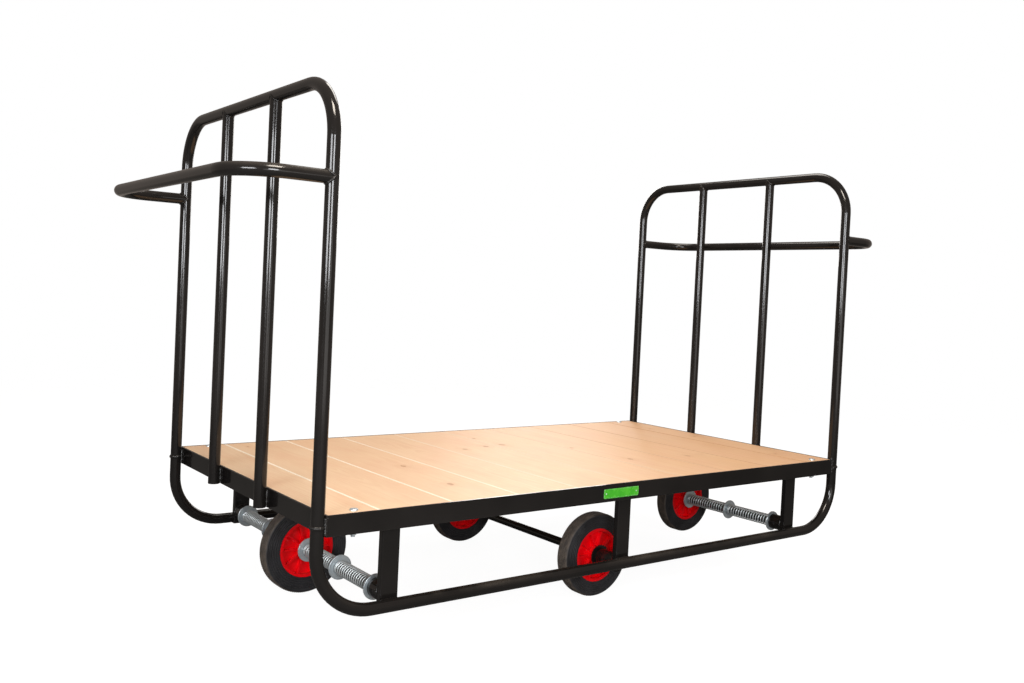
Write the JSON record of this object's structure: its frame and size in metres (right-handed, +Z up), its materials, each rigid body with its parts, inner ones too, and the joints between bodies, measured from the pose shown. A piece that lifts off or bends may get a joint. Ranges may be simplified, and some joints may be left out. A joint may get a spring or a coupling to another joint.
{
  "type": "platform trolley",
  "caption": "Platform trolley with a plank deck in a black tubular frame, a hoop and a push handle at each end, low centre wheels and sprung sliding end wheels.",
  "frame": {"origin": "on the floor under the middle of the trolley, level with the lowest points of the two centre wheels", "axes": "+X along the trolley, +Y across it towards the far side, +Z up"},
  "size_m": [2.453, 1.032, 1.389],
  "materials": {
    "deck_wood": "planed softwood with small knots, unvarnished",
    "frame_paint": "gloss black powder coat",
    "plain_steel": "turned steel, lightly oiled",
    "plate_green": "blank green enamelled plate",
    "rim_plastic": "bright red moulded plastic",
    "spring_steel": "zinc-plated spring wire",
    "tyre_rubber": "solid black rubber with a fine ribbed tread",
    "zinc": "bright zinc plate"
  },
  "bodies": {
    "frame": {"axle_centre": "frame_paint", "axle_collars": "frame_paint", "axle_left": "plain_steel", "axle_right": "plain_steel", "axle_sockets": "frame_paint", "centre_hangers": "frame_paint", "deck_board_1": "deck_wood", "deck_board_10": "deck_wood", "deck_board_2": "deck_wood", "deck_board_3": "deck_wood", "deck_board_4": "deck_wood", "deck_board_5": "deck_wood", "deck_board_6": "deck_wood", "deck_board_7": "deck_wood", "deck_board_8": "deck_wood", "deck_board_9": "deck_wood", "deck_bolts": "zinc", "deck_rail_far": "frame_paint", "deck_rail_left": "frame_paint", "deck_rail_near": "frame_paint", "deck_rail_right": "frame_paint", "end_hangers": "frame_paint", "end_washers": "zinc", "hoop_left": "frame_paint", "hoop_right": "frame_paint", "lower_rail_far": "frame_paint", "lower_rail_near": "frame_paint", "name_plate": "plate_green", "push_handle_left": "frame_paint", "push_handle_right": "frame_paint", "set_screws": "zinc", "spring_left_far_outer": "spring_steel", "spring_left_near_outer": "spring_steel", "spring_right_far_outer": "spring_steel", "spring_right_near_outer": "spring_steel", "thrust_washers": "frame_paint", "upright_bars_left": "frame_paint", "upright_bars_right": "frame_paint"},
    "carriage_left": {"sleeve_left": "plain_steel", "hub_washers_left": "zinc", "spring_left_near_inner": "spring_steel", "spring_left_far_inner": "spring_steel"},
    "wheel_left": {"tyre_left": "tyre_rubber", "rim_left": "rim_plastic"},
    "mid_washer_left_near": {"mid_washer_left_near": "zinc"},
    "mid_washer_left_far": {"mid_washer_left_far": "zinc"},
    "carriage_right": {"sleeve_right": "plain_steel", "hub_washers_right": "zinc", "spring_right_near_inner": "spring_steel", "spring_right_far_inner": "spring_steel"},
    "wheel_right": {"tyre_right": "tyre_rubber", "rim_right": "rim_plastic"},
    "mid_washer_right_near": {"mid_washer_right_near": "zinc"},
    "mid_washer_right_far": {"mid_washer_right_far": "zinc"},
    "wheel_centre_near": {"tyre_centre_near": "tyre_rubber", "rim_centre_near": "rim_plastic", "bush_centre_near": "plain_steel"},
    "wheel_centre_far": {"tyre_centre_far": "tyre_rubber", "rim_centre_far": "rim_plastic", "bush_centre_far": "plain_steel"}
  },
  "joints": [
    {"name": "wheel_slide_left", "type": "slide", "parent": "frame", "child": "carriage_left", "axis": [0, 1, 0], "range_m": [-0.1, 0.1], "stiffness_N_per_m": 7200, "deforming": ["spring_left_near_inner", "spring_left_near_outer", "spring_left_far_inner", "spring_left_far_outer"]},
    {"name": "wheel_spin_left", "type": "hinge", "parent": "carriage_left", "child": "wheel_left", "pos_m": [-0.782, 0, 0.155], "axis": [0, 1, 0], "continuous": true},
    {"name": "mid_washer_slide_left_near", "type": "slide", "parent": "frame", "child": "mid_washer_left_near", "axis": [0, 1, 0], "range_m": [-0.05, 0.05]},
    {"name": "mid_washer_slide_left_far", "type": "slide", "parent": "frame", "child": "mid_washer_left_far", "axis": [0, 1, 0], "range_m": [-0.05, 0.05]},
    {"name": "wheel_slide_right", "type": "slide", "parent": "frame", "child": "carriage_right", "axis": [0, 1, 0], "range_m": [-0.1, 0.1], "stiffness_N_per_m": 7200, "deforming": ["spring_right_near_inner", "spring_right_near_outer", "spring_right_far_inner", "spring_right_far_outer"]},
    {"name": "wheel_spin_right", "type": "hinge", "parent": "carriage_right", "child": "wheel_right", "pos_m": [0.782, 0, 0.155], "axis": [0, 1, 0], "continuous": true},
    {"name": "mid_washer_slide_right_near", "type": "slide", "parent": "frame", "child": "mid_washer_right_near", "axis": [0, 1, 0], "range_m": [-0.05, 0.05]},
    {"name": "mid_washer_slide_right_far", "type": "slide", "parent": "frame", "child": "mid_washer_right_far", "axis": [0, 1, 0], "range_m": [-0.05, 0.05]},
    {"name": "wheel_spin_centre_near", "type": "hinge", "parent": "frame", "child": "wheel_centre_near", "pos_m": [0, -0.354, 0.125], "axis": [0, 1, 0], "continuous": true},
    {"name": "wheel_spin_centre_far", "type": "hinge", "parent": "frame", "child": "wheel_centre_far", "pos_m": [0, 0.354, 0.125], "axis": [0, 1, 0], "continuous": true}
  ],
  "couplings": [
    {"joint": "mid_washer_slide_left_near", "follows": "wheel_slide_left", "ratio": 0.5},
    {"joint": "mid_washer_slide_left_far", "follows": "wheel_slide_left", "ratio": 0.5},
    {"joint": "mid_washer_slide_right_near", "follows": "wheel_slide_right", "ratio": 0.5},
    {"joint": "mid_washer_slide_right_far", "follows": "wheel_slide_right", "ratio": 0.5}
  ]
}
